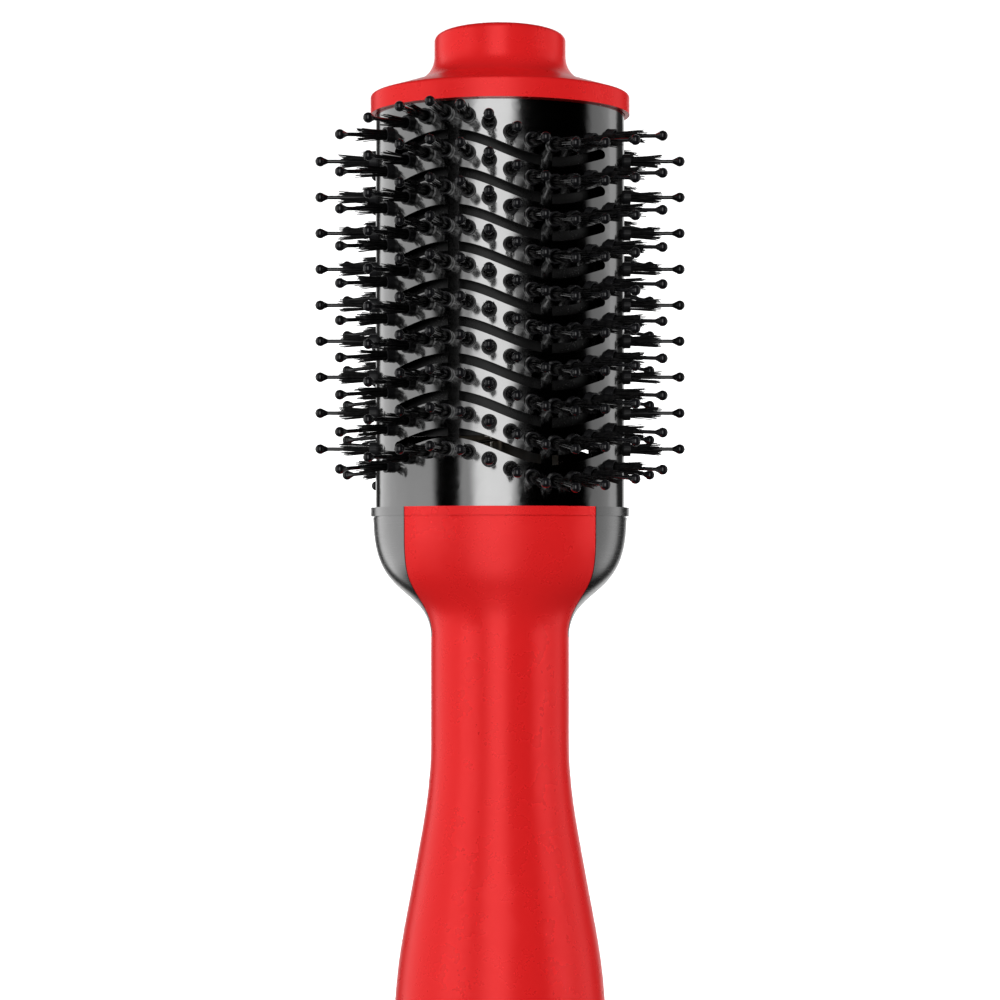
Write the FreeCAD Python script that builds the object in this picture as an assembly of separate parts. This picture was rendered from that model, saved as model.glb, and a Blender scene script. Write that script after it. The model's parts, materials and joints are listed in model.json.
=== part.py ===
"""Oval hot-air styling brush.

A round handle holds a fan. A slotted oval barrel holds the heater and the bristles.
A tip cap closes the barrel.

Millimetres, +Z towards the tip, +X across the wide way of the oval barrel, -Y is the front.
The origin is the centre of the cord gland's lower end, and the axis of the handle and barrel is the Z axis.
"""

import FreeCAD
import Part
import math
import os

V = FreeCAD.Vector
X_AXIS = V(1, 0, 0)
Y_AXIS = V(0, 1, 0)
Z_AXIS = V(0, 0, 1)

# ---- driving dimensions ----

TOTAL_LENGTH = 352.0
RUNNING = 0.1  # radial clearance of what turns
EASE = 0.05  # gap between pieces that are only pushed together
FIT = 0.2  # gap round the plates that slide into the barrel
POCKET_FIT = 0.15  # gap round the barrel's ends in the cap and in the collar
FAR = 50.0  # cutters reach this far, past the outside on any side
SEAM = 0.2  # visible gap between trims and shells

# barrel: an oval tube
BARREL_A = 36.0  # half width
BARREL_B = 25.0  # half depth
BARREL_WALL = 0.9
BARREL_Z0 = 212.6
BARREL_Z1 = 331.5

# rows of bristles and the air slots between them, both on one wave
ROWS = 10
ROW_PITCH = 10.42
TOP_ROW_Z = 321.0
SLOT_DROP = 5.35  # a slot lies this far under its row
SIDE_DROP = 5.0  # and a side bristle this far
WAVE_HEIGHT = 3.9
WAVE_LENGTH = 59.0
ROW_TILT = 0.03
SLOT_WIDTH = 2.75
SLOT_END_X = 28.4  # centre of a slot's round end
BRIDGE_X = 13.0  # metal bridges divide each slot in three
BRIDGE_WIDTH = 3.1

# bristle columns on one face: where they stand across the barrel and how far they fan out
COLUMN_X = [3.0, 8.85, 15.05, 20.4, 25.4, 31.1]
COLUMN_FAN = [3.0, 10.0, 17.5, 29.0, 46.0, 62.0]
FAN_SKEW = 3.0
LEAN = 4.6  # mean lean towards the handle, in degrees, which follows the wave

# one bristle: a socket that holds a ball-tipped pin in a tuft
SOCKET_R = 2.1
SOCKET_BORE = 1.6
SOCKET_HEIGHT = 1.8  # above the barrel
SOCKET_FLOOR = 0.9  # depth of the socket's floor under the barrel's outside
SOCKET_ROOT = 0.5  # behind the barrel's wall
HOLE_GAP = 0.12
HOLE_DEPTH = 3.0
PIN_R = 0.55
PIN_REACH = 16.1  # barrel to the centre of the ball
BALL_R = 1.45
BALL_NECK = 40.0  # degrees behind the ball's middle, where it starts to draw out
BALL_TAIL = 1.5  # ball radii from the ball's centre to the end of its neck
TUFT_REACH = 11.0
TUFT_R0 = 1.35
TUFT_R1 = 2.15

# bristle carriers inside the barrel
CARRIER_WALL = 1.45
CARRIER_WIDTH = 5.2
CARRIER_END_X = 32.8
CARRIER_GAP = 0.05  # to the barrel's inside
SIDE_STRIP_DEPTH = 8.0  # how far a side strip follows the barrel's curve inwards

# tip cap
CAP_Z0 = 329.2
CAP_WALL = 2.0
FLANGE_A = 37.5
FLANGE_B = 26.6
FLANGE_Z1 = 334.8
KNOB_Z0 = 339.7
NECK_R = 19.0
RIM_ROUND = 1.0
KNOB_ROUND = 8.4
TOP_ROUND = 1.6
SEAT_Z = 331.6  # where the cap rests on the top plate
HOLLOW_A = 30.0
HOLLOW_B = 20.0
HOLLOW_Z1 = 333.2
BOSS_R = 3.0
BOSS_BORE = 1.3
BOSS_BORE_Z1 = 342.5
BOSS_Z1 = 350.5
PLATE_Z0 = 328.4
SKIRT_HEIGHT = 5.8
SKIRT_WALL = 1.6
SCREW_PLACES_CAP = (-12.0, 12.0)
SCREW_PLACES_BASE = (-23.4, 23.4)

# the barrel's four screws
SCREW_R = 1.25
SCREW_HEAD_R = 2.9
SCREW_HEAD = 2.3
SCREW_LENGTH = 11.0
DRIVER_SLOT = (4.0, 0.7, 0.9)  # length, width and depth

# the base that joins the barrel to the handle
BASE_A = 33.6
BASE_B = 22.8
BASE_Z1 = 218.5
AIR_R = 15.0

# handle
WALL = 2.2
SHELL_Z0 = 50.0
SHELL_R0 = 30.5  # the shells' lower end
GRIP_R = 20.0
GRIP_Z1 = 178.3
LEDGE_Z0 = 208.7  # two inner ledges that the barrel's base is screwed to
LEDGE_Z1 = 210.6
LEDGE_A = 34.8
LEDGE_B = 24.2
LEDGE_X = 19.5  # where they start, each side of the middle
THROAT_A = 36.9  # the shells just under the collar
THROAT_B = 26.1
COLLAR_Z0 = 213.1
COLLAR_Z1 = 215.6
COLLAR_A = 37.4
COLLAR_B = 26.6
GROOVE_HEIGHT = 0.35
GROOVE_DEPTH = 0.45
TRIM_X = 26.9  # the side trims start here at the collar

# screw posts between the two shells
POST_Z = (140.0, 170.0)
FRONT_POST_R = 3.0
REAR_POST_R = 3.8
POST_BORE = 1.3
POST_SEAT_Y = 10.0  # the screws' heads rest here in the rear shell
POST_SCREW_HEAD_R = 2.7

# air inlet, dial and cord swivel at the lower end
GRILLE_Z0 = 33.2
GRILLE_R0 = 28.8
GRILLE_FLOOR = 2.0
GRILLE_SLITS = 36
SWITCH_R = 19.2
DIAL_Z0 = 13.5
DIAL_Z1 = 32.8
DIAL_R = 28.3
DIAL_EDGE = 6.0  # radius of its rounded lower edge
DIAL_SKIN = 2.2
DIAL_FLUTES = 36
DIAL_STEP = 30.0  # degrees from one setting to the next
MARK_RADII = (0.5, 0.7, 0.9, 1.1)  # off, then three settings
ROTOR_Z0 = 25.4
DETENT_R = 1.5
DETENT_X = 14.0
DETENT_Z = 30.2
SPRING_Z1 = 34.5
HUB_R = 8.6
HUB_BORE = 5.6
HUB_Z0 = 9.9
CORD_BORE = 3.5
BUSH_Z1 = 22.5

# fan and motor
DUCT_R = 24.1
DUCT_WALL = 1.5
DUCT_Z0 = 56.0
DUCT_Z1 = 92.0
IMPELLER_R = 23.4
IMPELLER_Z0 = 62.0
IMPELLER_Z1 = 75.0
MOTOR_R = 12.2
MOTOR_Z0 = 80.0
MOTOR_Z1 = 109.0
SHAFT_R = 1.15
BLADES = 7
BLADE_ANGLE = 38.0
TAB_HEIGHT = 7.0  # the motor's tabs hold the rectifier board this far up
RECTIFIER_THICK = 1.6

# the two leads from the switch to the heater
LEAD_R = 0.75
LEAD_Y = 1.4  # half the distance between them
LEAD_BEND = 7.0
LEAD_ROUTE = [
    (17.0, 37.6),
    (17.0, 43.0),
    (24.9, 52.0),
    (24.9, 93.0),
    (14.5, 122.0),
    (14.5, 198.0),
    (12.0, 217.0),
]

# heater
BOARD_HALF = 16.9
BOARD_THICK = 0.8
BOARD_Z0 = BASE_Z1
BOARD_Z1 = 321.5
COIL_Z0 = 228.5
COIL_TURNS = 10
COIL_PITCH = 8.2
COIL_WIRE_R = 0.45
COIL_BEND = 2.0
COIL_CORNER = 18.3  # the corners of the wire's route, just outside the boards
CUTOUT_Z = 238.0
SHIELD_A = 30.5
SHIELD_B = 20.3
SHIELD_WALL = 0.6
SHIELD_Z1 = 322.4
SHIELD_WINDOW = (26.0, 221.5, 235.5)  # half width, lower and upper edge
SHIELD_HOLE_R = 1.5
SHIELD_HOLE_X = (-15.0, -5.0, 5.0, 15.0)


# ---- shapes that many pieces use ----


def oval_wire(a, b, z):
    """A closed ellipse, or circle, around the axis at height z, whose seam is at the rear."""
    curve = Part.Ellipse(V(0, 0, z), a, b) if a > b else Part.Circle(V(0, 0, z), Z_AXIS, a)
    return Part.Wire([curve.toShape(math.pi / 2, math.pi * 5 / 2)])


def oval_prism(a, b, z0, z1):
    return Part.Face(oval_wire(a, b, z0)).extrude(V(0, 0, z1 - z0))


def oval_tube(a, b, wall, z0, z1):
    return oval_prism(a, b, z0, z1).cut(oval_prism(a - wall, b - wall, z0 - 1, z1 + 1))


def oval_loft(sections):
    """A solid through ovals given as (z, half width, half depth)."""
    return Part.makeLoft([oval_wire(a, b, z) for z, a, b in sections], True, False)


def disc(r, z0, z1, x=0.0, y=0.0):
    return Part.makeCylinder(r, z1 - z0, V(x, y, z0))


def ring(r_out, r_in, z0, z1):
    return disc(r_out, z0, z1).cut(disc(r_in, z0 - 1, z1 + 1))


def box(x0, x1, y0, y1, z0, z1):
    return Part.makeBox(x1 - x0, y1 - y0, z1 - z0, V(x0, y0, z0))


def rod(r, start, direction, length):
    return Part.makeCylinder(r, length, start, direction)


def through_bore(r, x=0.0):
    """A cutter along the whole brush."""
    return disc(r, -1, TOTAL_LENGTH + 1, x)


def fused(shapes):
    return shapes[0].multiFuse(shapes[1:]).removeSplitter()


def turned(shape, angle):
    """A copy of shape turned about the Z axis, in degrees."""
    copy = shape.copy()
    copy.rotate(V(0, 0, 0), Z_AXIS, angle)
    return copy


def open_ring(r_out, r_in, z0, z1, gap):
    """A C-shaped clip."""
    return ring(r_out, r_in, z0, z1).cut(box(0, r_out + 1, -gap / 2, gap / 2, z0 - 1, z1 + 1))


def wire(points, radius, bend):
    """A round wire on straight runs joined by arcs, which start at most bend before each corner."""
    edges = []
    at = points[0]
    for before, corner, after in zip(points, points[1:], points[2:]):
        back, ahead = before - corner, after - corner
        reach = min(0.45 * back.Length, 0.45 * ahead.Length, bend)
        back.normalize()
        ahead.normalize()
        half_turn_angle = (math.pi - back.getAngle(ahead)) / 2
        arc_r = reach / math.tan(half_turn_angle)
        enter, leave = corner + back * reach, corner + ahead * reach
        inward = (back + ahead).normalize()
        middle = corner + inward * (arc_r / math.cos(half_turn_angle) - arc_r)
        edges += [Part.makeLine(at, enter), Part.Arc(enter, middle, leave).toShape()]
        at = leave
    edges.append(Part.makeLine(at, points[-1]))
    section = Part.Wire([Part.Circle(points[0], points[1] - points[0], radius).toShape()])
    return Part.Wire(edges).makePipeShell([section], True, False)


def save(name, shape):
    """Writes one node, after a check that each of its solids is sound."""
    solids = shape.Solids
    if not solids or not all(s.isValid() and s.Volume > 0 for s in solids):
        raise RuntimeError(f"{name} has a bad solid")
    Part.makeCompound(solids).exportStep(f"parts/{name}.step")


# ---- where the bristles stand ----


def wave(x):
    return -WAVE_HEIGHT * math.sin(2 * math.pi * x / WAVE_LENGTH)


def barrel_y(x, a=BARREL_A, b=BARREL_B):
    """Front of an oval at x."""
    return -b * math.sqrt(max(0.0, 1 - (x / a) ** 2))


def bristle(x, y, z, fan, lean):
    """A bristle's foot on the barrel and its direction. fan turns it from -Y towards +X."""
    f = math.radians(fan)
    d = V(math.sin(f), -math.cos(f), -math.tan(math.radians(lean)))
    return V(x, y, z), d.normalize()


def front_row(k):
    """The bristles of row k on the front face, from -X to +X."""
    made = []
    for side in (-1, 1):
        for x0, fan in zip(COLUMN_X, COLUMN_FAN):
            x = side * x0
            z = TOP_ROW_Z - k * ROW_PITCH + wave(x) - ROW_TILT * x
            lean = LEAN * (1 + math.sin(2 * math.pi * x / WAVE_LENGTH))
            made.append(bristle(x, barrel_y(x), z, side * fan + FAN_SKEW, lean))
    return made


def right_side():
    """The column of bristles on the barrel's edge at +X, one between each two rows."""
    z = [TOP_ROW_Z - SIDE_DROP - k * ROW_PITCH for k in range(ROWS - 1)]
    return [bristle(BARREL_A, 0, h, 90, 0) for h in z]


def half_turn(bristles):
    return [(V(-p.x, -p.y, p.z), V(-d.x, -d.y, d.z)) for p, d in bristles]


def all_bristles():
    front = [b for k in range(ROWS) for b in front_row(k)] + right_side()
    return front + half_turn(front)


# ---- barrel ----


def slot_segment(z, x0, x1):
    """One stretch of an air slot of the front face, between x0 and x1, as a cutter along Y."""
    steps = 14
    xs = [x0 + (x1 - x0) * i / steps for i in range(steps + 1)]
    upper, lower = [], []
    for x in xs:
        slope = -WAVE_HEIGHT * 2 * math.pi / WAVE_LENGTH * math.cos(2 * math.pi * x / WAVE_LENGTH)
        rise = SLOT_WIDTH / 2 * math.sqrt(1 + slope**2)
        upper.append(V(x, 0, z + wave(x) + rise))
        lower.append(V(x, 0, z + wave(x) - rise))
    top, bottom = Part.BSplineCurve(), Part.BSplineCurve()
    top.interpolate(upper)
    bottom.interpolate(lower)
    ends = [Part.makeLine(upper[0], lower[0]), Part.makeLine(upper[-1], lower[-1])]
    outline = Part.Wire(Part.__sortEdges__([top.toShape(), bottom.toShape(), *ends]))
    reach = V(0, -(BARREL_B + 2), 0)
    return Part.Face(outline).extrude(reach)


def slot_cutters():
    """All slots of the front face."""
    inner = BRIDGE_X - BRIDGE_WIDTH / 2
    outer = BRIDGE_X + BRIDGE_WIDTH / 2
    made = []
    for k in range(ROWS - 1):
        z = TOP_ROW_Z - SLOT_DROP - k * ROW_PITCH
        made.append(slot_segment(z, -inner, inner))
        for side in (-1, 1):
            x0, x1 = sorted((side * outer, side * SLOT_END_X))
            end = V(side * SLOT_END_X, 0, z + wave(side * SLOT_END_X))
            cap = rod(SLOT_WIDTH / 2 + 0.02, end, V(0, -1, 0), BARREL_B + 2)
            made.append(slot_segment(z, x0, x1).fuse(cap))
    return made


def barrel_shell():
    tube = oval_tube(BARREL_A, BARREL_B, BARREL_WALL, BARREL_Z0, BARREL_Z1)
    slots = slot_cutters()
    rear_slots = [turned(s, 180) for s in slots]
    length = HOLE_DEPTH + SOCKET_HEIGHT
    holes = [rod(SOCKET_R + HOLE_GAP, p - d * HOLE_DEPTH, d, length) for p, d in all_bristles()]
    return tube.cut(slots + rear_slots + holes)


def sockets(bristles):
    """Rods that stand out through the barrel, and the bores that take pins and tufts."""
    depth = BARREL_WALL + SOCKET_ROOT
    rods = [rod(SOCKET_R, p - d * depth, d, depth + SOCKET_HEIGHT) for p, d in bristles]
    length = SOCKET_FLOOR + 2 * SOCKET_HEIGHT
    bores = [rod(SOCKET_BORE, p - d * SOCKET_FLOOR, d, length) for p, d in bristles]
    return rods, bores


def carrier_row(sleeve, k):
    """The wavy strip, cut from the tube sleeve, behind row k of the front face, with its sockets."""
    steps = 24
    z = TOP_ROW_Z - k * ROW_PITCH
    xs = [-CARRIER_END_X + 2 * CARRIER_END_X * i / steps for i in range(steps + 1)]
    middle = [V(x, 0, z + wave(x) - ROW_TILT * x) for x in xs]
    edges = []
    for offset in (-CARRIER_WIDTH / 2, CARRIER_WIDTH / 2):
        curve = Part.BSplineCurve()
        curve.interpolate([p + V(0, 0, offset) for p in middle])
        edges.append(curve.toShape())
    up = V(0, 0, CARRIER_WIDTH / 2)
    edges += [Part.makeLine(p - up, p + up) for p in (middle[0], middle[-1])]
    band = Part.Face(Part.Wire(Part.__sortEdges__(edges))).extrude(V(0, -BARREL_B, 0))
    rods, bores = sockets(front_row(k))
    return sleeve.common(band).multiFuse(rods).cut(bores)


def side_carrier(sleeve):
    """The straight strip behind the column of bristles at +X."""
    z0 = TOP_ROW_Z - SIDE_DROP - (ROWS - 2) * ROW_PITCH - CARRIER_WIDTH
    z1 = TOP_ROW_Z - SIDE_DROP + CARRIER_WIDTH
    half = CARRIER_WIDTH / 2
    strip = sleeve.common(box(BARREL_A - SIDE_STRIP_DEPTH, BARREL_A, -half, half, z0, z1))
    rods, bores = sockets(right_side())
    return strip.multiFuse(rods).cut(bores)


def ball_pin(foot, direction):
    """A pin from the socket's floor to a ball that draws out into its stem like a drop."""
    start = foot - direction * SOCKET_FLOOR
    stem = rod(PIN_R, start, direction, SOCKET_FLOOR + PIN_REACH)
    centre = foot + direction * PIN_REACH
    ball = Part.makeSphere(BALL_R, centre, direction)
    neck_r = BALL_R * math.cos(math.radians(BALL_NECK))
    back = BALL_R * math.sin(math.radians(BALL_NECK))
    length = BALL_TAIL * BALL_R - back
    neck = Part.makeCone(neck_r, PIN_R, length, centre - direction * back, -direction)
    return stem.multiFuse([ball, neck])


def tuft(foot, direction):
    """The outline of a bunch of filaments around a pin."""
    start = foot - direction * SOCKET_FLOOR
    length = SOCKET_FLOOR + TUFT_REACH
    outside = Part.makeCone(TUFT_R0, TUFT_R1, length, start, direction)
    return outside.cut(rod(PIN_R + EASE, start - direction, direction, length + 2))


def barrel_top_plate():
    """Closes the barrel under the tip cap, with a skirt inside the carriers."""
    a = BARREL_A - BARREL_WALL - FIT
    b = BARREL_B - BARREL_WALL - FIT
    plate = oval_prism(a, b, PLATE_Z0, SEAT_Z)
    inset = CARRIER_WALL + FIT
    skirt = oval_tube(a - inset, b - inset, SKIRT_WALL, PLATE_Z0 - SKIRT_HEIGHT, PLATE_Z0)
    holes = [through_bore(SCREW_R + EASE, x) for x in SCREW_PLACES_CAP]
    return plate.fuse(skirt).removeSplitter().cut(holes)


def barrel_screws():
    """Two clamp the tip cap to the top plate, and two clamp the handle's ledge to the barrel's base."""
    places = [(x, PLATE_Z0 - SCREW_HEAD) for x in SCREW_PLACES_CAP]
    places += [(x, LEDGE_Z0 - SCREW_HEAD) for x in SCREW_PLACES_BASE]
    made = []
    for x, z in places:
        head = disc(SCREW_HEAD_R, z, z + SCREW_HEAD, x)
        stem = disc(SCREW_R, z + SCREW_HEAD - 0.1, z + SCREW_LENGTH, x)
        length, width, depth = DRIVER_SLOT
        slot = box(x - length / 2, x + length / 2, -width / 2, width / 2, z - 1, z + depth)
        made.append(head.fuse(stem).cut(slot))
    return Part.makeCompound(made)


def barrel_base():
    """Joins the barrel to the handle and holds the heater. Air passes through its middle."""
    flange = oval_prism(BASE_A, BASE_B, LEDGE_Z1, BARREL_Z0 - 0.1)
    neck = oval_prism(BASE_A - 0.6, BASE_B - 0.6, BARREL_Z0 - 0.2, BARREL_Z0 + 0.1)
    inset = BARREL_WALL + FIT
    spigot = oval_prism(BARREL_A - inset, BARREL_B - inset, BARREL_Z0, BASE_Z1)
    holes = [through_bore(SCREW_R + EASE, x) for x in SCREW_PLACES_BASE]
    return fused([flange, neck, spigot]).cut([through_bore(AIR_R), *holes])


# ---- heater ----

def mica_boards():
    """Two boards that slide into each other: each is slit over half its length."""
    half, t = BOARD_HALF, BOARD_THICK / 2
    middle = (BOARD_Z0 + BOARD_Z1) / 2
    slit = t + EASE
    wide = box(-half, half, -t, t, BOARD_Z0, BOARD_Z1)
    wide = wide.cut(box(-slit, slit, -1, 1, middle - EASE, BOARD_Z1 + 1))
    cross = box(-t, t, -half, half, BOARD_Z0, BOARD_Z1)
    cross = cross.cut(box(-1, 1, -slit, slit, BOARD_Z0 - 1, middle + EASE))
    return wide, cross


def heating_coil():
    """A resistance wire wound round the boards' four edges, straight between them."""
    points = []
    for i in range(4 * COIL_TURNS + 1):
        angle = math.radians(90 * i)
        z = COIL_Z0 + COIL_PITCH * i / 4
        points.append(V(COIL_CORNER * math.cos(angle), COIL_CORNER * math.sin(angle), z))
    return wire(points, COIL_WIRE_R, COIL_BEND)


def heater_cutouts():
    """A thermostat with two legs, and a thermal fuse on its own lead."""
    x, z = 5.2, CUTOUT_Z
    body = disc(4.4, z, z + 6, x, x)
    legs = [disc(0.5, z - 5, z + 0.2, x + dx, x) for dx in (-2.2, 2.2)]
    x = -2.5
    fuse = disc(1.9, z - 2, z + 7, x, x)
    tail = disc(0.4, z - 9, z + 13, x, x)
    return Part.makeCompound([body.multiFuse(legs), fuse.fuse(tail)])


def heat_shield():
    """A sleeve round the heater, with air holes behind the bristle rows and windows above its foot."""
    sleeve = oval_tube(SHIELD_A, SHIELD_B, SHIELD_WALL, BOARD_Z0, SHIELD_Z1)
    half, z0, z1 = SHIELD_WINDOW
    holes = [box(-half, half, -FAR, FAR, z0, z1)]
    for k in range(ROWS - 1):
        for x in SHIELD_HOLE_X:
            z = TOP_ROW_Z - k * ROW_PITCH + wave(x)
            front = rod(SHIELD_HOLE_R, V(x, 0, z), -Y_AXIS, FAR)
            holes += [front, turned(front, 180)]
    return sleeve.cut(holes)


# ---- tip cap ----


def near_height(edge, z0, z1):
    return z0 <= edge.BoundBox.ZMin and edge.BoundBox.ZMax <= z1


def cap_outside():
    """An oval flange whose top slopes up to a round knob, with rounded edges."""
    flange = oval_prism(FLANGE_A, FLANGE_B, CAP_Z0, FLANGE_Z1)
    ends = [oval_wire(FLANGE_A, FLANGE_B, FLANGE_Z1), oval_wire(NECK_R, NECK_R, KNOB_Z0)]
    slope = Part.makeLoft(ends, True, True)
    knob = disc(NECK_R, KNOB_Z0, TOTAL_LENGTH)
    solid = flange.multiFuse([slope, knob])
    rim = [e for e in solid.Edges if near_height(e, FLANGE_Z1 - 0.1, FLANGE_Z1 + 0.1)]
    solid = solid.makeFillet(RIM_ROUND, rim)
    foot = [e for e in solid.Edges if near_height(e, KNOB_Z0 - 0.1, KNOB_Z0 + 0.1)]
    solid = solid.makeFillet(KNOB_ROUND, foot)
    top = [e for e in solid.Edges if near_height(e, TOTAL_LENGTH - 0.1, TOTAL_LENGTH + 0.1)]
    return solid.makeFillet(TOP_ROUND, top)


def tip_cap():
    """Hollow, with a seat for the barrel's end and two bosses for the screws."""
    seat = oval_prism(BARREL_A + POCKET_FIT, BARREL_B + POCKET_FIT, CAP_Z0 - 1, SEAT_Z)
    hollow = oval_prism(HOLLOW_A, HOLLOW_B, SEAT_Z - 0.1, HOLLOW_Z1)
    knob = disc(NECK_R - CAP_WALL, HOLLOW_Z1 - 0.1, TOTAL_LENGTH - CAP_WALL)
    shell = cap_outside().cut([seat, hollow, knob])
    bosses = []
    for x in SCREW_PLACES_CAP:
        bore = disc(BOSS_BORE, SEAT_Z - 1, BOSS_BORE_Z1, x)
        bosses.append(disc(BOSS_R, SEAT_Z, BOSS_Z1, x).cut(bore))
    return fused([shell, *bosses])


# ---- handle ----


def grip_profile():
    """Radius of the round grip at each height, from the inlet up to the straight grip."""
    return [
        (SHELL_Z0, SHELL_R0),
        (62.0, 30.8),
        (72.7, 30.4),
        (84.3, 29.3),
        (95.9, 27.4),
        (107.5, 25.2),
        (119.1, 23.1),
        (130.7, 21.2),
        (140.0, 20.25),
        (148.0, GRIP_R),
    ]


def grip_solid(inset):
    """The round grip, turned about the axis, with its outside moved in by inset."""
    points = [V(r - inset, 0, z) for z, r in grip_profile()]
    curve = Part.BSplineCurve()
    curve.interpolate(Points=points, InitialTangent=V(0.02, 0, 1), FinalTangent=V(0, 0, 1))
    low, high = points[0], V(GRIP_R - inset, 0, GRIP_Z1)
    edges = [
        curve.toShape(),
        Part.makeLine(points[-1], high),
        Part.makeLine(high, V(0, 0, high.z)),
        Part.makeLine(V(0, 0, high.z), V(0, 0, low.z)),
        Part.makeLine(V(0, 0, low.z), low),
    ]
    return turned(Part.Face(Part.Wire(edges)).revolve(V(0, 0, 0), Z_AXIS, 360), 90)


def throat_sections(inset):
    """The handle widens from the round grip to the oval collar."""
    outline = [
        (GRIP_Z1, GRIP_R, GRIP_R),
        (180.0, 20.08, 20.03),
        (182.0, 20.5, 20.15),
        (185.2, 21.9, 20.6),
        (188.7, 24.9, 21.5),
        (192.2, 28.9, 22.6),
        (195.7, 32.2, 23.7),
        (199.2, 34.3, 24.5),
        (204.4, 35.95, 25.35),
        (209.0, 36.55, 25.8),
        (COLLAR_Z0 + 0.2, THROAT_A, THROAT_B),
    ]
    return [(z, a - inset, b - inset) for z, a, b in outline]


def front_wall():
    """The front half of the hollow handle, uncut for the side trims. The rear half is the same."""
    half = box(-FAR, FAR, -FAR, 0, 0, TOTAL_LENGTH)
    collar = oval_prism(COLLAR_A, COLLAR_B, COLLAR_Z0, COLLAR_Z1)
    outside = [s.common(half) for s in (grip_solid(0), oval_loft(throat_sections(0)), collar)]
    pocket = oval_prism(BARREL_A + POCKET_FIT, BARREL_B + POCKET_FIT, BARREL_Z0, COLLAR_Z1 + 1)
    inside = [grip_solid(WALL), oval_loft(throat_sections(WALL)), pocket]
    inside.append(disc(SHELL_R0 - WALL, SHELL_Z0 - 1, SHELL_Z0 + 0.1))
    ledge = oval_prism(LEDGE_A, LEDGE_B, LEDGE_Z0, LEDGE_Z1).common(half)
    gap = box(-LEDGE_X, LEDGE_X, -FAR, FAR, LEDGE_Z0 - 1, LEDGE_Z1 + 1)
    holes = [through_bore(SCREW_R + EASE, x) for x in SCREW_PLACES_BASE]
    return fused([fused(outside).cut(inside), ledge.cut([gap, *holes])]).cut(collar_groove())


def collar_groove():
    """The dark line under the collar, as a cutter."""
    z0 = COLLAR_Z0 - GROOVE_HEIGHT
    a, b = THROAT_A - GROOVE_DEPTH, THROAT_B - GROOVE_DEPTH
    return oval_prism(FAR, FAR, z0, COLLAR_Z0).cut(oval_prism(a, b, z0 - 1, COLLAR_Z0 + 1))


def trim_cutter(side, gap):
    """Reaches through the handle along Y, outside the trims' edge. gap moves that edge outwards."""
    edge = [
        (TRIM_X, COLLAR_Z1 + 1),
        (TRIM_X, 206.0),
        (26.75, 201.3),
        (25.6, 194.8),
        (22.8, 189.3),
        (20.5, 184.4),
        (19.65, 180.6),
        (19.6, GRIP_Z1),
    ]
    points = [V(side * (x + gap), -FAR, z) for x, z in edge]
    curve = Part.BSplineCurve()
    curve.interpolate(points[1:])
    corners = [V(side * FAR, -FAR, z) for z in (GRIP_Z1, COLLAR_Z1 + 1)]
    edges = [
        Part.makeLine(points[0], points[1]),
        curve.toShape(),
        Part.makeLine(points[-1], corners[0]),
        Part.makeLine(corners[0], corners[1]),
        Part.makeLine(corners[1], points[0]),
    ]
    return Part.Face(Part.Wire(edges)).extrude(Y_AXIS * 2 * FAR)


def handle_shells():
    """Front and rear shells with screw posts. The front takes the threads, the rear the screw heads."""
    front = front_wall().cut([trim_cutter(-1, 0), trim_cutter(1, 0)])
    rear = turned(front, 180)
    limit = grip_solid(WALL / 2)
    for z in POST_Z:
        start = V(0, 0, z)
        front = front.fuse(rod(FRONT_POST_R, start, -Y_AXIS, GRIP_R).common(limit))
        front = front.cut(rod(POST_BORE, start, -Y_AXIS, POST_SEAT_Y))
        rear = rear.fuse(rod(REAR_POST_R, start, Y_AXIS, GRIP_R).common(limit))
        stem_hole = rod(POST_BORE + FIT, start, Y_AXIS, FAR)
        head_hole = rod(FRONT_POST_R, start + Y_AXIS * POST_SEAT_Y, Y_AXIS, FAR)
        rear = rear.cut([stem_hole, head_hole])
    return front, rear


def side_trims():
    """The trims at -X and +X, which both span the shells' edges."""
    left_front, right_front = [front_wall().common(trim_cutter(side, SEAM)) for side in (-1, 1)]
    left = fused([left_front, turned(right_front, 180)])
    right = fused([right_front, turned(left_front, 180)])
    return left, right


def shell_screws():
    made = []
    for z in POST_Z:
        stem = rod(POST_BORE - EASE, V(0, -9.0, z), Y_AXIS, 9.1 + POST_SEAT_Y)
        head = rod(POST_SCREW_HEAD_R, V(0, POST_SEAT_Y, z), Y_AXIS, 1.8)
        slot = box(-1.6, 1.6, POST_SEAT_Y + 1, POST_SEAT_Y + 3, z - 0.3, z + 0.3)
        cross = [slot, slot.copy()]
        cross[1].rotate(V(0, 0, z), Y_AXIS, 90)
        made.append(stem.fuse(head).cut(cross))
    return Part.makeCompound(made)


# ---- fan and motor ----


def fan_duct():
    """A duct round the fan, with vanes that hold the motor's cradle and a gap for the leads."""
    outer = DUCT_R + DUCT_WALL
    tube = ring(outer, DUCT_R, DUCT_Z0, DUCT_Z1)
    rib = ring(SHELL_R0 - WALL - 0.1, outer - 0.5, DUCT_Z0, DUCT_Z0 + 1.6)
    cradle = ring(MOTOR_R + 2.0, MOTOR_R + 0.8, MOTOR_Z0, MOTOR_Z0 + 14)
    vane = box(MOTOR_R + 1.5, DUCT_R + 0.5, -0.7, 0.7, MOTOR_Z0, MOTOR_Z0 + 10)
    vanes = [turned(vane, 30 + 60 * i) for i in range(6)]
    gap = box(20, 30, -3.2, 3.2, DUCT_Z0 - 1, DUCT_Z1 + 1)
    return fused([tube, rib, cradle, *vanes]).cut(gap)


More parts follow.
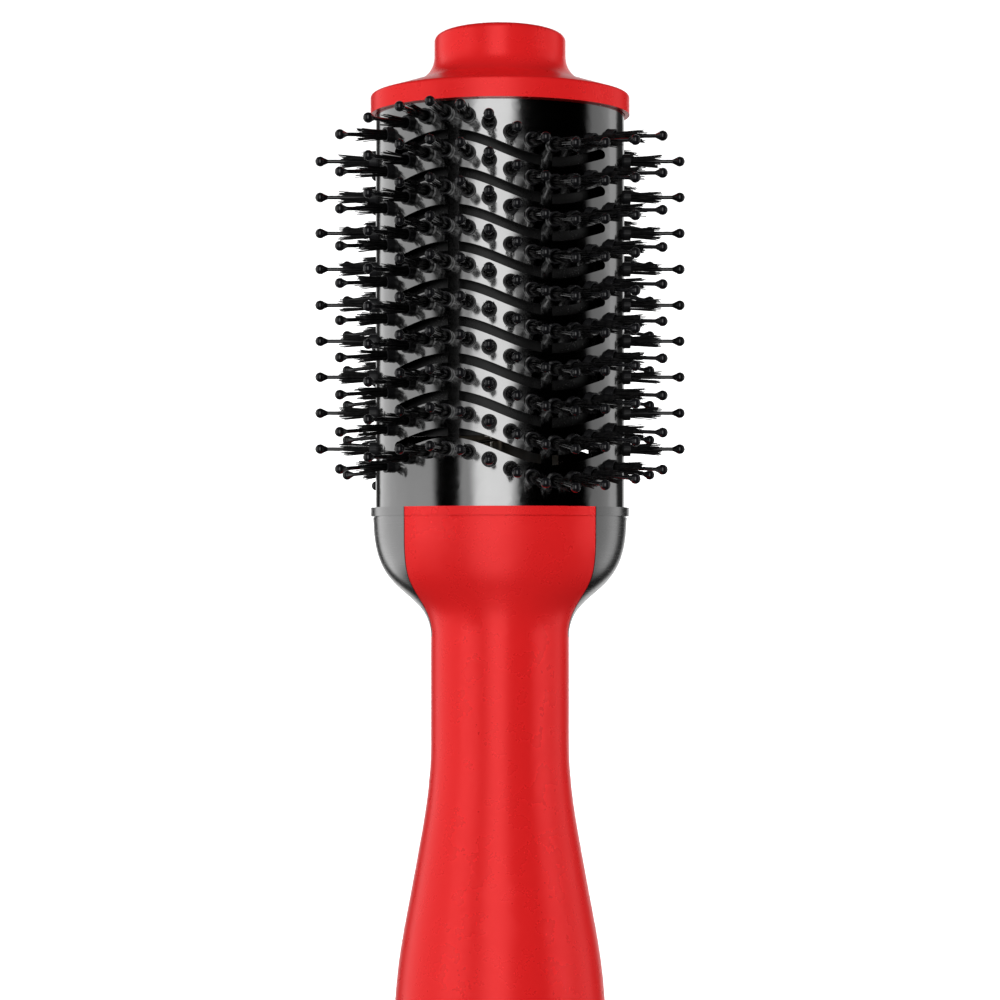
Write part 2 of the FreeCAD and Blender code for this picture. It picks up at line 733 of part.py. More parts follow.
def impeller():
    """Slanted blades on a hub."""
    hub = disc(6.5, IMPELLER_Z0, IMPELLER_Z1).cut(disc(SHAFT_R, IMPELLER_Z0 - 1, IMPELLER_Z1 + 1))
    blades = []
    for i in range(BLADES):
        blade = box(5.6, IMPELLER_R + 2, -0.6, 0.6, -8.5, 8.5)
        blade.rotate(V(0, 0, 0), X_AXIS, BLADE_ANGLE)
        blade.translate(V(0, 0, (IMPELLER_Z0 + IMPELLER_Z1) / 2))
        blades.append(turned(blade, i * 360 / BLADES))
    limit = ring(IMPELLER_R, 5.6, IMPELLER_Z0, IMPELLER_Z1)
    return fused([hub, *[b.common(limit) for b in blades]])


def motor_rotor():
    shaft = disc(SHAFT_R, IMPELLER_Z0 - 0.5, MOTOR_Z1 + 4)
    armature = disc(8.4, MOTOR_Z0 + 6, MOTOR_Z1 - 6)
    slots = [turned(box(7.0, 9, -0.7, 0.7, MOTOR_Z0, MOTOR_Z1), 72 * i) for i in range(5)]
    return fused([shaft, armature.cut(slots), disc(3.0, MOTOR_Z1 - 5.5, MOTOR_Z1 - 2)])


def motor_can():
    body = ring(MOTOR_R, MOTOR_R - 1, MOTOR_Z0, MOTOR_Z1)
    end = ring(MOTOR_R - 0.5, SHAFT_R + RUNNING, MOTOR_Z0, MOTOR_Z0 + 1.5)
    return body.fuse(end).removeSplitter()


def motor_magnets():
    arc = ring(MOTOR_R - 1 - EASE, 9.2, MOTOR_Z0 + 5, MOTOR_Z1 - 5)
    gap = box(-4, 4, -20, 20, MOTOR_Z0, MOTOR_Z1)
    return arc.cut(gap)


def motor_end_bell():
    plate = ring(MOTOR_R, SHAFT_R + RUNNING, MOTOR_Z1, MOTOR_Z1 + 2.5)
    tabs = [box(x - 0.4, x + 0.4, -1.5, 1.5, MOTOR_Z1 + 2.4, MOTOR_Z1 + TAB_HEIGHT) for x in (-8, 8)]
    return fused([plate, *tabs])


def motor_damper():
    return ring(MOTOR_R + 0.75, MOTOR_R + EASE, MOTOR_Z0 + 0.5, MOTOR_Z0 + 13.5)


def rectifier_board():
    """A round board on the motor's tabs, with four diodes."""
    z = MOTOR_Z1 + TAB_HEIGHT
    board = disc(11.0, z, z + RECTIFIER_THICK)
    diodes = [rod(1.3, V(-8, y, z + 2.9), X_AXIS, 7) for y in (-6, -2, 2, 6)]
    return fused([board, *diodes])


def suppression_capacitor():
    z = MOTOR_Z1 + TAB_HEIGHT + RECTIFIER_THICK
    return box(0.6, 7.6, -5.5, 5.5, z, z + 10)


def internal_leads():
    """Two leads from the switch past the fan to the heater."""
    routes = [[V(x, y, z) for x, z in LEAD_ROUTE] for y in (-LEAD_Y, LEAD_Y)]
    return Part.makeCompound([wire(route, LEAD_R, LEAD_BEND) for route in routes])


# ---- lower end: inlet, dial, switch and cord swivel ----


def inlet_grille():
    """A slotted ring under the shells, with a floor that carries the hub."""
    top = SHELL_Z0 - 0.2
    r0, r1 = GRILLE_R0, SHELL_R0 - EASE
    outside = Part.makeCone(r0, r1, top - GRILLE_Z0, V(0, 0, GRILLE_Z0))
    inside = Part.makeCone(r0 - WALL, r1 - WALL, top - GRILLE_Z0, V(0, 0, GRILLE_Z0))
    floor = ring(r0 - WALL / 2, SWITCH_R + 0.4, GRILLE_Z0, GRILLE_Z0 + GRILLE_FLOOR)
    lip = ring(SHELL_R0 - WALL - 0.1, r0 - WALL, top - 2, SHELL_Z0 + 2.5)
    slit = box(20, FAR, -1.1, 1.1, GRILLE_Z0 + 3.2, top - 3.2)
    slits = [turned(slit, i * 360 / GRILLE_SLITS) for i in range(GRILLE_SLITS)]
    pointer = rod(0.9, V(0, -(r0 - 2), GRILLE_Z0 + 1.6), -Y_AXIS, 2.75)
    return fused([outside.cut(inside), floor, lip, pointer]).cut(slits)


def inlet_filter():
    """A fine mesh inside the slits."""
    outer = GRILLE_R0 - WALL - 0.4
    return ring(outer, outer - 0.6, GRILLE_Z0 + GRILLE_FLOOR, SHELL_Z0 - 1)


def cord_hub():
    """A hollow spindle that the dial turns on. Its shoulder holds the swivel's clip."""
    flange = ring(22.0, HUB_R - 0.5, GRILLE_Z0 + GRILLE_FLOOR, 37.3)
    tube = disc(HUB_R, HUB_Z0, 37.3)
    bore = disc(HUB_BORE, 0, 40).fuse(disc(7.2, 20.0, 40))
    groove = ring(HUB_R + 1, 8.0, 12.0, 13.2)
    return flange.fuse(tube).cut([bore, groove]).removeSplitter()


def dial_retainer():
    return open_ring(11.5, 8.0, 12.1, 13.1, 4)


def selector_dial():
    """A cup that turns on the hub, with a rounded, fluted outside."""
    edge, skin = DIAL_EDGE, DIAL_SKIN
    arc = Part.Arc(
        V(DIAL_R - edge, 0, DIAL_Z0),
        V(DIAL_R - edge * (1 - math.sin(math.pi / 4)), 0, DIAL_Z0 + edge * (1 - math.cos(math.pi / 4))),
        V(DIAL_R, 0, DIAL_Z0 + edge),
    )
    corner = [V(DIAL_R, 0, DIAL_Z1), V(0, 0, DIAL_Z1), V(0, 0, DIAL_Z0)]
    edges = [
        arc.toShape(),
        Part.makeLine(V(DIAL_R, 0, DIAL_Z0 + edge), corner[0]),
        Part.makeLine(corner[0], corner[1]),
        Part.makeLine(corner[1], corner[2]),
        Part.makeLine(corner[2], V(DIAL_R - edge, 0, DIAL_Z0)),
    ]
    outside = Part.Face(Part.Wire(edges)).revolve(V(0, 0, 0), Z_AXIS, 360)
    hollow = disc(DIAL_R - skin, DIAL_Z0 + edge, DIAL_Z1 + 1)
    hollow = hollow.fuse(disc(DIAL_R - edge, DIAL_Z0 + skin, DIAL_Z1 + 1))
    collar = disc(HUB_R + 2.4, DIAL_Z0, ROTOR_Z0)
    spindle = through_bore(HUB_R + RUNNING)
    flute = rod(0.9, V(DIAL_R + 0.35, 0, DIAL_Z0 + edge), Z_AXIS, 7.0)
    flutes = [turned(flute, (i + 0.5) * 360 / DIAL_FLUTES) for i in range(DIAL_FLUTES)]
    return fused([outside.cut(hollow), collar]).cut([spindle, *flutes, *mark_rods()])


def mark_rods():
    """A dot for each setting, from the smallest for off to the largest."""
    rods = []
    for i, r in enumerate(MARK_RADII):
        dot = rod(r, V(0, -DIAL_R + 0.8, DIAL_Z1 - 2.6), -Y_AXIS, 0.95)
        rods.append(turned(dot, -DIAL_STEP * i))
    return rods


def switch_rotor():
    """A contact disc on the dial's collar, with four dimples for the detent ball."""
    plate = ring(18.5, HUB_R + 0.9, ROTOR_Z0, ROTOR_Z0 + 3.2)
    ball = Part.makeSphere(DETENT_R, V(DETENT_X, 0, DETENT_Z - 0.5))
    dimples = [turned(ball, -DIAL_STEP * i) for i in range(len(MARK_RADII))]
    return plate.cut(dimples)


def switch_body():
    """The fixed contacts' block, with a pocket for the detent."""
    block = ring(SWITCH_R, HUB_R + EASE, 29.0, GRILLE_Z0 + GRILLE_FLOOR)
    pocket = disc(1.6, 28, SPRING_Z1, DETENT_X)
    return block.cut(pocket)


def detent_ball():
    """Sits just above the dimple of the dial's first setting."""
    return Part.makeSphere(DETENT_R, V(DETENT_X, 0, DETENT_Z))


def detent_spring():
    z0 = DETENT_Z + DETENT_R + EASE
    return disc(1.45, z0, SPRING_Z1, DETENT_X).cut(disc(1.0, z0 - 1, SPRING_Z1 + 1, DETENT_X))


def swivel_bush():
    """The gland that the cord passes through. It turns in the hub."""
    tail = Part.makeCone(5.2, 6.2, 6.5, V(0, 0, 0))
    head = disc(8.4, 6.5, HUB_Z0 - 0.2)
    rim = [e for e in head.Edges if e.BoundBox.ZMax < 6.6]
    head = head.makeChamfer(1.0, [e for e in rim if e.BoundBox.ZLength < 1e-6])
    stem = disc(HUB_BORE - RUNNING, HUB_Z0 - 0.3, BUSH_Z1)
    groove = ring(HUB_BORE + 1, 4.8, 20.1, 21.3)
    return fused([tail, head, stem]).cut([groove, disc(CORD_BORE, -1, 40)])


def swivel_clip():
    return open_ring(6.6, 4.85, 20.2, 21.2, 3)


# ---- all nodes ----


def main():
    os.makedirs("parts", exist_ok=True)

    bristles = all_bristles()
    inset = BARREL_WALL + CARRIER_GAP
    sleeve = oval_tube(BARREL_A - inset, BARREL_B - inset, CARRIER_WALL, BARREL_Z0, BARREL_Z1)
    save("barrel_shell", barrel_shell())
    for k in range(ROWS):
        row = carrier_row(sleeve, k)
        save(f"bristle_row_front_{k + 1:02d}", row)
        save(f"bristle_row_rear_{k + 1:02d}", turned(row, 180))
    side = side_carrier(sleeve)
    save("bristle_strip_right", side)
    save("bristle_strip_left", turned(side, 180))
    save("ball_pins", Part.makeCompound([ball_pin(p, d) for p, d in bristles]))
    save("bristle_tufts", Part.makeCompound([tuft(p, d) for p, d in bristles]))

    save("mica_boards", Part.makeCompound(mica_boards()))
    save("heating_coil", heating_coil())
    save("heater_cutouts", heater_cutouts())
    save("heat_shield", heat_shield())
    save("barrel_top_plate", barrel_top_plate())
    save("barrel_base", barrel_base())
    save("barrel_screws", barrel_screws())
    save("tip_cap", tip_cap())

    front, rear = handle_shells()
    save("handle_front_shell", front)
    save("handle_rear_shell", rear)
    left, right = side_trims()
    save("side_trim_left", left)
    save("side_trim_right", right)
    save("shell_screws", shell_screws())

    save("fan_duct", fan_duct())
    save("impeller", impeller())
    save("motor_rotor", motor_rotor())
    save("motor_can", motor_can())
    save("motor_magnets", motor_magnets())
    save("motor_end_bell", motor_end_bell())
    save("motor_damper", motor_damper())
    save("rectifier_board", rectifier_board())
    save("suppression_capacitor", suppression_capacitor())
    save("internal_leads", internal_leads())

    save("inlet_grille", inlet_grille())
    save("inlet_filter", inlet_filter())
    save("cord_hub", cord_hub())
    save("dial_retainer", dial_retainer())
    save("selector_dial", selector_dial())
    save("dial_marks", Part.makeCompound(mark_rods()))
    save("switch_rotor", switch_rotor())
    save("switch_body", switch_body())
    save("detent_ball", detent_ball())
    save("detent_spring", detent_spring())
    save("swivel_bush", swivel_bush())
    save("swivel_clip", swivel_clip())


main()
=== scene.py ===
import json
import math
import random

import bpy
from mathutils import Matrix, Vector


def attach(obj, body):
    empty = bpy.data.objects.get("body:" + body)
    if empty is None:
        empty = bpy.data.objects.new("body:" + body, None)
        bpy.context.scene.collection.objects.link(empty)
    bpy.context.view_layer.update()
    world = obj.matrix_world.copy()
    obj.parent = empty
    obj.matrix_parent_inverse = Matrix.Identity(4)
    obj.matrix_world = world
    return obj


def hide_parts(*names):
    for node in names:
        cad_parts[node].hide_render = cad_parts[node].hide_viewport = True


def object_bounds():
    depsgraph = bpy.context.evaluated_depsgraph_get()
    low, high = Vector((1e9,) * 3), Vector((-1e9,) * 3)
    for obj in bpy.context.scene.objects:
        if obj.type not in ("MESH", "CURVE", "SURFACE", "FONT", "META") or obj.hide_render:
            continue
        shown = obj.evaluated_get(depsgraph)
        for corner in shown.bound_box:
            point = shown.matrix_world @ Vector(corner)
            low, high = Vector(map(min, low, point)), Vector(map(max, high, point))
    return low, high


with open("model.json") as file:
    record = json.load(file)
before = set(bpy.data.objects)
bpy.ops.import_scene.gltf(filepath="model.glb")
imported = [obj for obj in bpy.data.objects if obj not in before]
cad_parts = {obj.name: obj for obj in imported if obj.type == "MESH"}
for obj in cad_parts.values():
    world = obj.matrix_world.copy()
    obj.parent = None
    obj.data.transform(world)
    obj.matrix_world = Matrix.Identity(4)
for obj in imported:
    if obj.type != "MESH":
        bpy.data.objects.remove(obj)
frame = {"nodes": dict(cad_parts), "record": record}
cad_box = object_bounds()

MM = 0.001

# ---- camera, in front of the object and level with the top of the handle ----

CAMERA_DISTANCE = 0.620
CAMERA_HEIGHT = 0.2005
LENS = 77.0
SENSOR = 36.0
CAMERA_SHIFT_UP = 0.06  # share of the sensor's width

# ---- filaments of a tuft ----

FILAMENTS = 40
FILAMENT_R = 0.15 * MM
FILAMENT_SIDES = 4
FILAMENT_RINGS = 5
FILAMENT_TAPER = 0.35  # share of its thickness that a filament loses at its tip
FILAMENT_CURVE = 1.6  # power of the height by which a filament leans out
LENGTH_SPREAD = 0.2  # share of the tuft's length that the tips differ by
TIP_SPREAD = (0.75, 1.1)  # a tip's share of its even place, across the tuft
TWIST = 0.35  # radians that a filament turns by, at most, from foot to tip
PLACE_JITTER = 0.25  # radians that a filament stands out of its even place, at most
GOLDEN_ANGLE = math.radians(137.5)  # spreads the filaments evenly round the pin
PIN_CLEARANCE = 0.76 * MM  # least distance of a filament's middle from the pin's axis
TUFT_BAND = 27 * MM  # height of the barrel that one piece's tufts stand on
CONE_END = 0.4 * MM  # points this near a cone's end belong to its end circle

# ---- noise scales, in features a metre ----

FLOW_SCALE = 55
GLOSS_SCALE = 140
GRAIN_SCALE = 1 / (0.35 * MM)
SMUDGE_SCALE = 38
POLISH_SCALE = 60
DRAWN_SCALE = 300
STRAND_SCALE = 900
WEAR_SCALE = 400
FLAKE_SCALE = 420
SHEEN_SCALE = 300
WEAVE_SCALE = 800
FLOOR_SCALE = 3
NOISE_LOW, NOISE_HIGH = 0.3, 0.7  # most of a noise's values lie between these

# ---- looks by the record's slot ----

RED = (0.8, 0.017, 0.018)
PLASTICS = {
    "red_plastic": dict(colour=RED, roughness=0.28, spread=0.012, grain=0.0015, metallic=0.25),
    "black_plastic": dict(colour=(0.02, 0.02, 0.021), roughness=0.45, spread=0.2),
    "carrier_plastic": dict(colour=(0.012, 0.012, 0.013), roughness=0.3, spread=0.2, grain=0.006),
    "pin_nylon": dict(
        colour=(0.006, 0.006, 0.007), roughness=0.12, spread=0.2, grain=0.001, specular=0.8, ior=1.6
    ),
    "white_mark": dict(colour=(0.8, 0.8, 0.8), roughness=0.5),
    "white_plastic": dict(colour=(0.7, 0.7, 0.68), roughness=0.35),
    "shield_sheet": dict(colour=(0.008, 0.008, 0.008), roughness=0.28, spread=0.3, specular=0.45),
    "ceramic": dict(colour=(0.75, 0.72, 0.66), roughness=0.2),
    "soft_rubber": dict(colour=(0.018, 0.018, 0.018), roughness=0.6, spread=0.2, grain=0.03),
    "yellow_plastic": dict(colour=(0.62, 0.4, 0.03), roughness=0.3),
    "lead_sleeve": dict(colour=(0.6, 0.6, 0.57), roughness=0.5),
}
PLATINGS = {
    "gunmetal": dict(grey=0.6, roughness=0.105, line_height=0.0012 * MM),
    "grey_plastic": dict(grey=0.62, roughness=0.24, line_height=0.001 * MM),
}
METALS = {
    "heater_wire": dict(colour=(0.42, 0.38, 0.34), roughness=0.35),
    "bright_steel": dict(colour=(0.6, 0.6, 0.61), roughness=0.25),
    "dark_steel": dict(colour=(0.25, 0.25, 0.26), roughness=0.4),
    "magnet": dict(colour=(0.1, 0.1, 0.1), roughness=0.55),
    "filter_mesh": dict(colour=(0.35, 0.35, 0.36), roughness=0.4, lines=(6, 6, 6)),
}

# ---- studio ----

FLOOR_HALF = 6.0
FLOOR_BEND = 1.5
FLOOR_DEPTH = 5.0
LAMPS = [  # name, place in x and y, size, power in watts
    ("key", (-1.5, -1.2), (1.2, 1.0), 57),
    ("fill", (1.8, -0.6), (1.0, 1.0), 54),
]
WASH_POWER = 6
WASH_WIDTH = math.radians(40)
WASH_DIRECTION = (0.1, 0.5, -0.85)

# upright soft boxes and flags round the object: (degrees to the right of the camera, brightness)
STUDIO = [
    (-180, 0.8), (-162, 0.8), (-152, 0.02), (-137, 0.02), (-131, 0.85), (-126, 0.8), (-112, 0.6),
    (-100, 0.48), (-86, 0.42), (-70, 0.38), (-49, 0.38), (-44, 0.0), (-28, 0.0), (-25, 0.38),
    (-20, 0.3), (-15, 1.0), (-8, 1.1), (6, 1.05), (10, 0.5), (13, 0.0), (66, 0.0), (74, 0.19),
    (88, 0.23), (98, 0.3), (106, 0.44), (118, 0.42), (123, 0.1), (128, 0.02), (147, 0.02),
    (156, 0.7), (180, 0.8),
]
# how much of that reaches each height, as (sine of the height angle, share)
STUDIO_HEIGHT = [(-0.65, 0.02), (-0.35, 1), (0.5, 1), (0.75, 0.03)]


def make_camera():
    """Looks straight along +Y."""
    data = bpy.data.cameras.new("camera")
    data.lens = LENS
    data.sensor_width = SENSOR
    data.shift_y = CAMERA_SHIFT_UP
    data.clip_start = 0.01
    camera = bpy.data.objects.new("camera", data)
    camera.location = (0, -CAMERA_DISTANCE, CAMERA_HEIGHT)
    camera.rotation_euler = (math.radians(90), 0, 0)
    bpy.context.collection.objects.link(camera)
    bpy.context.scene.camera = camera


# ---- materials ----


class Tree:
    """A node tree, with short ways to add and join nodes."""

    def __init__(self, tree):
        self.tree = tree

    def add(self, kind, **values):
        node = self.tree.nodes.new(kind)
        for key, value in values.items():
            setattr(node, key, value)
        return node

    def join(self, output, target):
        self.tree.links.new(output, target)

    def math(self, operation, first, second):
        """A Math node of two operands, each a socket or a plain number."""
        node = self.add("ShaderNodeMath", operation=operation)
        for value, target in zip((first, second), node.inputs):
            if isinstance(value, (int, float)):
                target.default_value = value
            else:
                self.join(value, target)
        return node.outputs["Value"]

    def ramp(self, value, stops, interpolation="LINEAR"):
        """stops are (position, colour or grey)."""
        node = self.add("ShaderNodeValToRGB")
        node.color_ramp.interpolation = interpolation
        elements = node.color_ramp.elements
        while len(elements) < len(stops):
            elements.new(0.5)
        for element, (position, colour) in zip(elements, stops):
            element.position = position
            element.color = (*colour, 1) if isinstance(colour, tuple) else (colour, colour, colour, 1)
        self.join(value, node.inputs["Fac"])
        return node.outputs["Color"]

    def vary(self, noise, low, high):
        """A colour or grey that follows a noise from low to high."""
        return self.ramp(noise, [(NOISE_LOW, low), (NOISE_HIGH, high)])


class Graph(Tree):
    """A new material's node tree."""

    def __init__(self, name):
        self.material = bpy.data.materials.new(name)
        self.material.use_nodes = True
        super().__init__(self.material.node_tree)
        self.shader = self.tree.nodes["Principled BSDF"]
        self.place = self.add("ShaderNodeTexCoord").outputs["Object"]

    def set(self, **values):
        """Sets the shader's own sockets, by their names with _ for a space."""
        for key, value in values.items():
            self.shader.inputs[key.replace("_", " ")].default_value = value

    def shade(self, socket, output):
        """Joins an output to one of the shader's sockets."""
        self.join(output, self.shader.inputs[socket])

    def scaled(self, factors):
        node = self.add("ShaderNodeVectorMath", operation="MULTIPLY")
        self.join(self.place, node.inputs[0])
        node.inputs[1].default_value = factors
        return node.outputs["Vector"]

    def noise(self, scale, detail=3.0, roughness=0.5, stretch=None):
        node = self.add("ShaderNodeTexNoise")
        self.join(self.scaled(stretch) if stretch else self.place, node.inputs["Vector"])
        node.inputs["Scale"].default_value = scale
        node.inputs["Detail"].default_value = detail
        node.inputs["Roughness"].default_value = roughness
        return node.outputs["Fac"]

    def bump(self, height, distance):
        """Raises the surface by up to distance, in metres, where height is 1."""
        node = self.add("ShaderNodeBump")
        node.inputs["Distance"].default_value = distance
        node.inputs["Strength"].default_value = 1.0
        self.join(height, node.inputs["Height"])
        self.shade("Normal", node.outputs["Normal"])


def shades(colour, spread):
    """Two colours around one, darker and lighter."""
    return tuple(c * (1 - spread) for c in colour), tuple(min(1, c * (1 + spread)) for c in colour)


def plastic(name, colour, roughness, spread=0.04, grain=0.012, specular=0.5, ior=1.5, metallic=0.0):
    """Moulded plastic: a fine grain, in mm, a faint flow in the colour, and an uneven gloss."""
    g = Graph(name)
    flow = g.noise(FLOW_SCALE, detail=4, stretch=(1, 1, 0.35))
    g.shade("Base Color", g.vary(flow, *shades(colour, spread)))
    gloss = g.noise(GLOSS_SCALE, detail=5, roughness=0.6)
    g.shade("Roughness", g.vary(gloss, roughness * 0.9, roughness * 1.1))
    g.bump(g.noise(GRAIN_SCALE, detail=2), grain * MM)
    g.set(Specular_IOR_Level=specular, IOR=ior, Metallic=metallic)
    return g.material


def plating(name, grey, roughness, line_height):
    """Grey plating with faint lines round the object's axis, as left by drawing or polishing."""
    g = Graph(name)
    smudge = g.noise(SMUDGE_SCALE, detail=5, roughness=0.6)
    g.shade("Base Color", g.vary(smudge, grey * 0.95, grey * 1.05))
    lines = g.noise(POLISH_SCALE, detail=6, roughness=0.7, stretch=(1, 1, 60))
    g.shade("Roughness", g.vary(lines, roughness * 0.8, roughness * 1.2))
    g.bump(lines, line_height)
    g.set(Metallic=1.0)
    return g.material


def metal(name, colour, roughness, lines=(1, 1, 20)):
    """Bare metal with a drawn or turned surface."""
    g = Graph(name)
    drawn = g.noise(DRAWN_SCALE, detail=4, stretch=lines)
    g.shade("Base Color", g.vary(drawn, *shades(colour, 0.12)))
    g.shade("Roughness", g.vary(drawn, roughness * 0.8, roughness * 1.25))
    g.bump(drawn, 0.004 * MM)
    g.set(Metallic=1.0)
    return g.material


def nylon_filament():
    """Black nylon, uneven in shade and gloss."""
    g = Graph("nylon_filament")
    strand = g.noise(STRAND_SCALE, detail=2)
    g.shade("Base Color", g.ramp(strand, [(0.35, (0.004, 0.004, 0.0045)), (0.75, (0.016, 0.0155, 0.0155))]))
    g.shade("Roughness", g.vary(g.noise(WEAR_SCALE), 0.35, 0.5))
    g.set(Specular_IOR_Level=0.25)
    return g.material


def mica():
    """Flaked sheet, painted dark as painted shade for the shaded slots that it shows through."""
    g = Graph("mica")
    flakes = g.add("ShaderNodeTexVoronoi")
    g.join(g.place, flakes.inputs["Vector"])
    flakes.inputs["Scale"].default_value = FLAKE_SCALE
    # painted shade: these browns are kept dark to stand in for the shade inside the barrel's slots
    shade_darkened_browns = [(0.0, (0.1, 0.08, 0.055)), (0.8, (0.06, 0.047, 0.032))]
    g.shade("Base Color", g.ramp(flakes.outputs["Distance"], shade_darkened_browns))
    g.shade("Roughness", g.vary(g.noise(SHEEN_SCALE), 0.3, 0.5))
    return g.material


def circuit_board():
    """Green lacquer over a woven sheet."""
    g = Graph("circuit_board")
    weave = g.noise(WEAVE_SCALE, detail=1)
    g.shade("Base Color", g.ramp(weave, [(0.4, (0.02, 0.16, 0.06)), (0.6, (0.03, 0.22, 0.08))]))
    g.bump(weave, 0.01 * MM)
    g.set(Roughness=0.35, Coat_Weight=0.4)
    return g.material


def all_materials():
    """Material by the record's slot."""
    made = {"bristle": nylon_filament(), "mica": mica(), "circuit_board": circuit_board()}
    for make, looks in ((plastic, PLASTICS), (plating, PLATINGS), (metal, METALS)):
        for name, look in looks.items():
            made[name] = make(name, **look)
    return made


def dress_cad_nodes(materials):
    """Gives each CAD node the material of its slot."""
    slots = {s["node"]: s["material_slot"] for s in frame["record"]["subparts"]}
    for name, obj in frame["nodes"].items():
        for place in obj.material_slots:
            place.material = materials[slots[name]]


# ---- tufts ----


def loose_parts(mesh):
    """The vertices of each separate solid of a mesh."""
    parent = list(range(len(mesh.vertices)))

    def root(i):
        while parent[i] != i:
            parent[i] = parent[parent[i]]
            i = parent[i]
        return i

    joined = {}
    for v in mesh.vertices:
        key = tuple(round(c, 7) for c in v.co)
        parent[v.index] = joined.setdefault(key, v.index)
    for edge in mesh.edges:
        a, b = (root(i) for i in edge.vertices)
        parent[a] = b
    groups = {}
    for v in mesh.vertices:
        groups.setdefault(root(v.index), []).append(v.co.copy())
    return list(groups.values())


def tuft_axes():
    """The foot and the tip of each tuft's cone, with the cone's radius at both, from the CAD solids."""
    found = []
    for points in loose_parts(frame["nodes"]["bristle_tufts"].data):
        middle = sum(points, Vector()) / len(points)
        out = Vector((middle.x, middle.y, 0))
        near = min(points, key=lambda p: (p - middle).dot(out))
        far = max(points, key=lambda p: (p - middle).dot(out))
        rough = (far - near).normalized()
        for _ in range(3):  # the ends' centres settle in a few rounds
            along = sorted(points, key=lambda p: p.dot(rough))
            low = [p for p in points if p.dot(rough) < along[0].dot(rough) + CONE_END]
            high = [p for p in points if p.dot(rough) > along[-1].dot(rough) - CONE_END]
            foot, tip = sum(low, Vector()) / len(low), sum(high, Vector()) / len(high)
            rough = (tip - foot).normalized()
        found.append((foot, tip, max((p - foot).length for p in low), max((p - tip).length for p in high)))
    return found


def tuft_filaments(foot, tip, foot_r, tip_r, draw, points, faces):
    """Adds one tuft's filaments, which spread towards uneven tips."""
    axis = tip - foot
    turn = axis.to_track_quat("Z", "Y").to_matrix()
    for i in range(FILAMENTS):
        angle = i * GOLDEN_ANGLE + draw.uniform(-PLACE_JITTER, PLACE_JITTER)
        share = math.sqrt((i + 0.5) / FILAMENTS)
        tip_share = min(1, share * draw.uniform(*TIP_SPREAD))
        r0 = PIN_CLEARANCE + (foot_r - FILAMENT_R - PIN_CLEARANCE) * share
        r1 = PIN_CLEARANCE + (tip_r - FILAMENT_R - PIN_CLEARANCE) * tip_share
        length = axis.length * (1 - LENGTH_SPREAD * draw.random())
        twist = draw.uniform(-TWIST, TWIST)
        start = len(points)
        for k in range(FILAMENT_RINGS):
            t = k / (FILAMENT_RINGS - 1)
            r = r0 + (r1 - r0) * t**FILAMENT_CURVE
            a = angle + twist * t
            thickness = FILAMENT_R * (1 - FILAMENT_TAPER * t * t)
            centre = Vector((r * math.cos(a), r * math.sin(a), length * t))
            for s in range(FILAMENT_SIDES):
                b = 2 * math.pi * s / FILAMENT_SIDES
                local = centre + Vector((math.cos(b), math.sin(b), 0)) * thickness
                points.append(foot + turn @ local)
        for k in range(FILAMENT_RINGS - 1):
            for s in range(FILAMENT_SIDES):
                near = start + k * FILAMENT_SIDES
                nxt = (s + 1) % FILAMENT_SIDES
                faces.append((near + s, near + nxt, near + FILAMENT_SIDES + nxt, near + FILAMENT_SIDES + s))
        last = start + (FILAMENT_RINGS - 1) * FILAMENT_SIDES
        faces.append(tuple(range(start + FILAMENT_SIDES - 1, start - 1, -1)))
        faces.append(tuple(range(last, last + FILAMENT_SIDES)))


def make_tufts(material):
    """One piece for each face and band of height, so that no mesh grows too large."""
    tufts = tuft_axes()
    rows = {}
    top = max(foot.z for foot, *_ in tufts)
    for tuft in tufts:
        foot = tuft[0]
        face = "front" if (foot.y, foot.x) < (0, 0) else "rear"
        band = int((top - foot.z) / TUFT_BAND)
        rows.setdefault(f"tufts_{face}_{band + 1}", []).append(tuft)
    for name in sorted(rows):
        draw = random.Random(name)
        points, faces = [], []
        for tuft in sorted(rows[name], key=lambda t: (round(t[0].z, 5), t[0].x)):
            tuft_filaments(*tuft, draw, points, faces)
        mesh = bpy.data.meshes.new(name)
        mesh.from_pydata([tuple(p) for p in points], [], faces)
        mesh.materials.append(material)
        mesh.shade_smooth()
        piece = bpy.data.objects.new(name, mesh)
        bpy.context.collection.objects.link(piece)
        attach(piece, "handle")
        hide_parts("bristle_tufts")


# ---- floor, world and lights ----


def make_floor():
    """A pale floor that curves up behind the object, out to where it fills the view."""
    flat_end = FLOOR_DEPTH - FLOOR_BEND
    profile = [(-FLOOR_HALF, 0.0), (flat_end, 0.0)]
    for degrees in range(10, 91, 10):
        angle = math.radians(degrees)
        profile.append((flat_end + FLOOR_BEND * math.sin(angle), FLOOR_BEND - FLOOR_BEND * math.cos(angle)))
    profile.append((FLOOR_DEPTH, FLOOR_HALF))
    points = [(x, y, z) for y, z in profile for x in (-FLOOR_HALF, FLOOR_HALF)]
    faces = [(2 * i, 2 * i + 1, 2 * i + 3, 2 * i + 2) for i in range(len(profile) - 1)]
    mesh = bpy.data.meshes.new("floor")
    mesh.from_pydata(points, [], faces)
    mesh.shade_smooth()
    g = Graph("floor")
    g.shade("Base Color", g.vary(g.noise(FLOOR_SCALE), 0.86, 0.9))
    g.set(Roughness=0.9)
    mesh.materials.append(g.material)
    floor = bpy.data.objects.new("floor", mesh)
    bpy.context.collection.objects.link(floor)
    floor.visible_glossy = False
    floor.visible_diffuse = False
    return floor


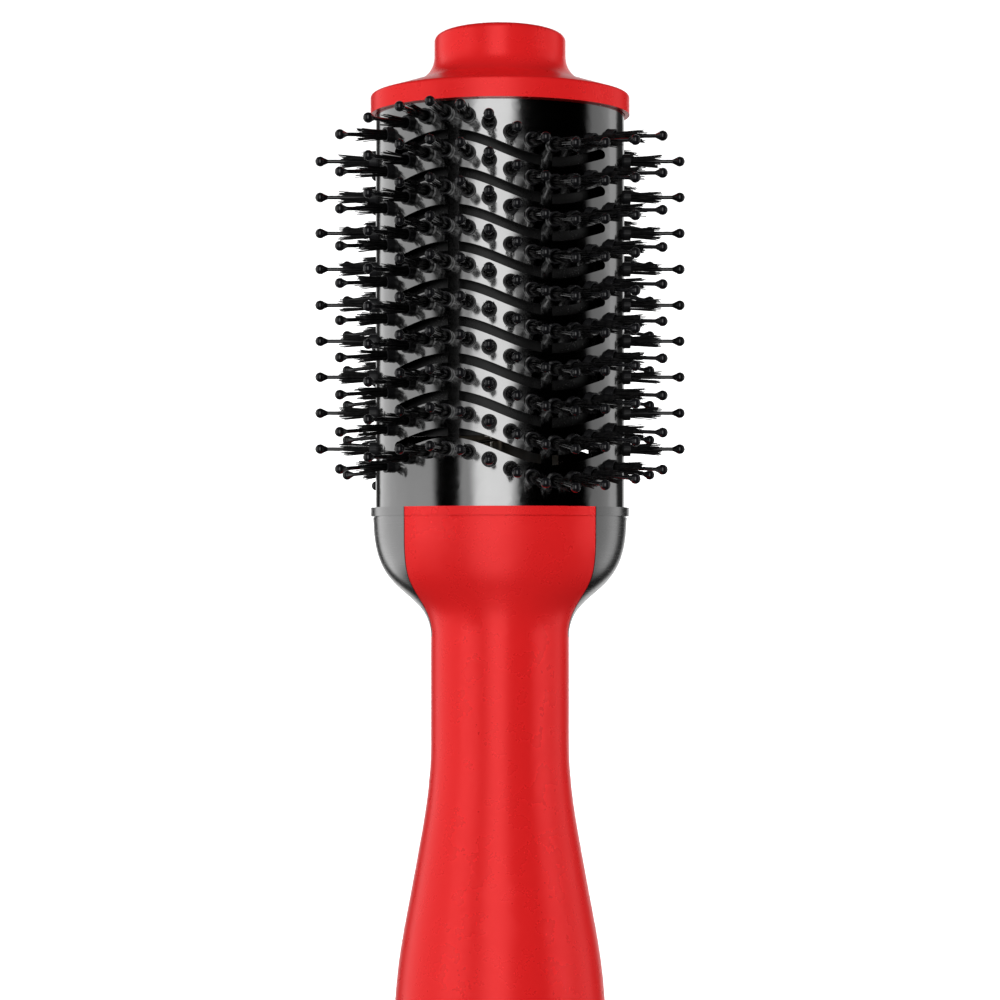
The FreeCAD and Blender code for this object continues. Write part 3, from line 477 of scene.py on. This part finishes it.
def make_world():
    """White to the camera. Reflections and light see the soft boxes, with dark above and below them."""
    world = bpy.data.worlds.new("studio")
    bpy.context.scene.world = world
    world.use_nodes = True
    w = Tree(world.node_tree)
    split = w.add("ShaderNodeSeparateXYZ")
    w.join(w.add("ShaderNodeTexCoord").outputs["Generated"], split.inputs[0])
    x, y, z = split.outputs
    turn = w.math("ARCTAN2", x, w.math("MULTIPLY", y, -1))
    share = w.math("ADD", w.math("DIVIDE", turn, 2 * math.pi), 0.5)
    around = w.ramp(share, [((degrees + 180) / 360, bright) for degrees, bright in STUDIO])
    height = w.math("ADD", w.math("MULTIPLY", z, 0.5), 0.5)
    above = w.ramp(height, [((sine + 1) / 2, part) for sine, part in STUDIO_HEIGHT], "EASE")
    studio = w.tree.nodes["Background"]
    w.join(w.math("MULTIPLY", around, above), studio.inputs["Color"])
    plain = w.add("ShaderNodeBackground")
    plain.inputs["Color"].default_value = (1, 1, 1, 1)
    choose = w.add("ShaderNodeMixShader")
    w.join(w.add("ShaderNodeLightPath").outputs["Is Camera Ray"], choose.inputs["Fac"])
    w.join(studio.outputs[0], choose.inputs[1])
    w.join(plain.outputs[0], choose.inputs[2])
    w.join(choose.outputs[0], w.tree.nodes["World Output"].inputs["Surface"])


def area_light(name, place, target, size, power):
    """A soft box that lights the object but doesn't show in its reflections."""
    data = bpy.data.lights.new(name, "AREA")
    data.shape = "RECTANGLE"
    data.size, data.size_y = size
    data.energy = power
    light = bpy.data.objects.new(name, data)
    light.location = place
    light.rotation_euler = (Vector(target) - Vector(place)).to_track_quat("-Z", "Y").to_euler()
    bpy.context.collection.objects.link(light)
    light.visible_glossy = False


def make_lights(floor):
    """The key and fill only soften the object's shading. The wash lights nothing but the floor."""
    centre = (cad_box[0] + cad_box[1]) / 2
    for name, place, size, power in LAMPS:
        area_light(name, (*place, centre.z), centre, size, power)
    data = bpy.data.lights.new("floor_wash", "SUN")
    data.energy = WASH_POWER
    data.angle = WASH_WIDTH
    wash = bpy.data.objects.new("floor_wash", data)
    wash.rotation_euler = Vector(WASH_DIRECTION).to_track_quat("-Z", "Y").to_euler()
    wash.visible_glossy = False
    bpy.context.collection.objects.link(wash)
    only_floor = bpy.data.collections.new("lit_by_wash")
    only_floor.objects.link(floor)
    wash.light_linking.receiver_collection = only_floor


def main():
    bpy.context.scene.view_settings.view_transform = "Standard"
    make_camera()
    materials = all_materials()
    dress_cad_nodes(materials)
    make_tufts(materials["bristle"])
    make_world()
    make_lights(make_floor())


main()
